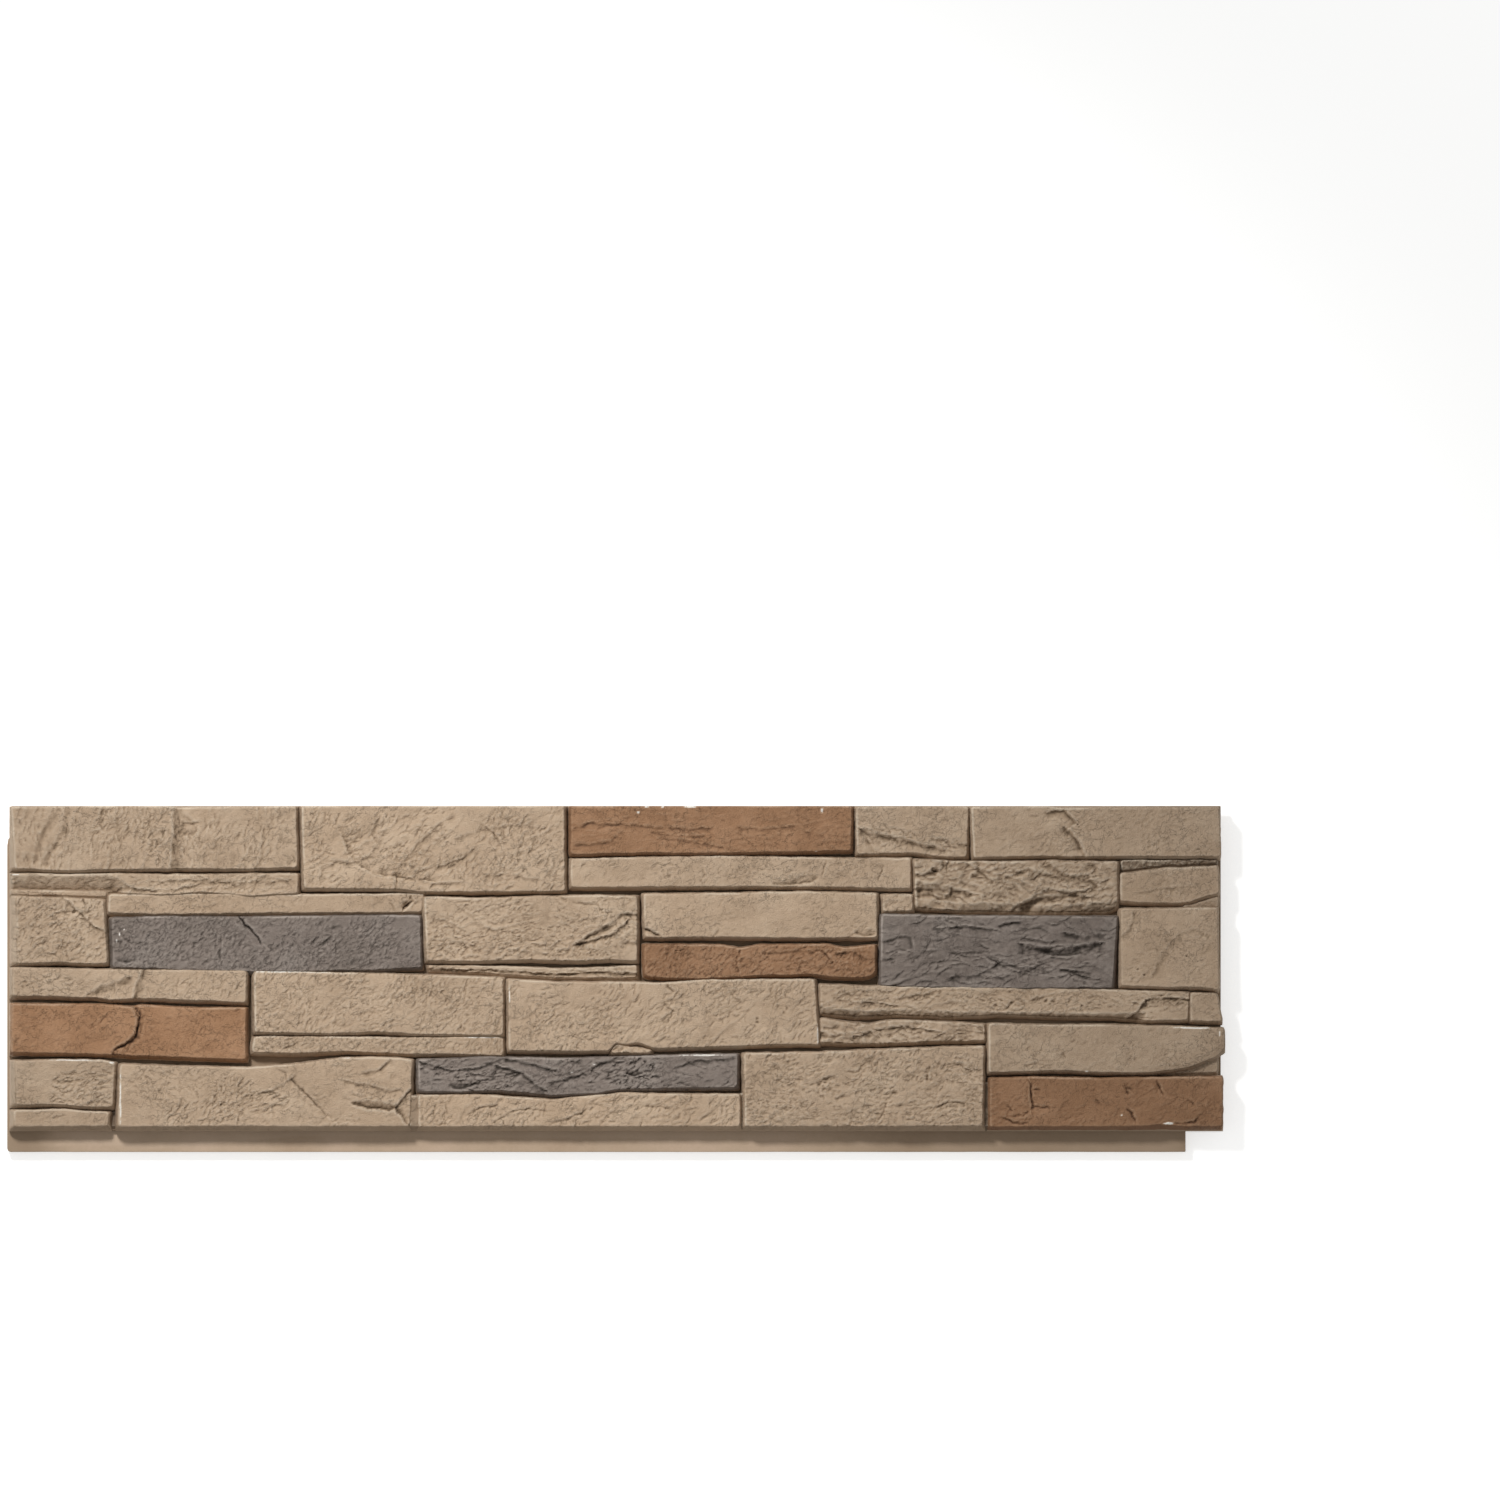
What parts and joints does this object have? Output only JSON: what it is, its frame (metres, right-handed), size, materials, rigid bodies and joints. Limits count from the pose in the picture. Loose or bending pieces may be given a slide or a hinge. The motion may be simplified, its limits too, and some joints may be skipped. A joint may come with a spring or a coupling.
{
  "type": "faux stone wall panel",
  "caption": "Long moulded foam wall panel with courses of split-face ledge stone in relief, a nailing flange and shiplap rebates at its edges.",
  "frame": {"origin": "centre of the panel's outline, on its flat back, which lies on the floor", "axes": "+X along the panel's length, towards the end with the rebate; +Y across it, from the bottom flange to the top edge; +Z out of the stone faces"},
  "size_m": [1.08, 0.3064, 0.0345],
  "materials": {
    "painted_foam": "moulded high-density polyurethane foam with a matte painted stone finish"
  },
  "bodies": {
    "root": {"stone_panel": "painted_foam"}
  },
  "joints": []
}
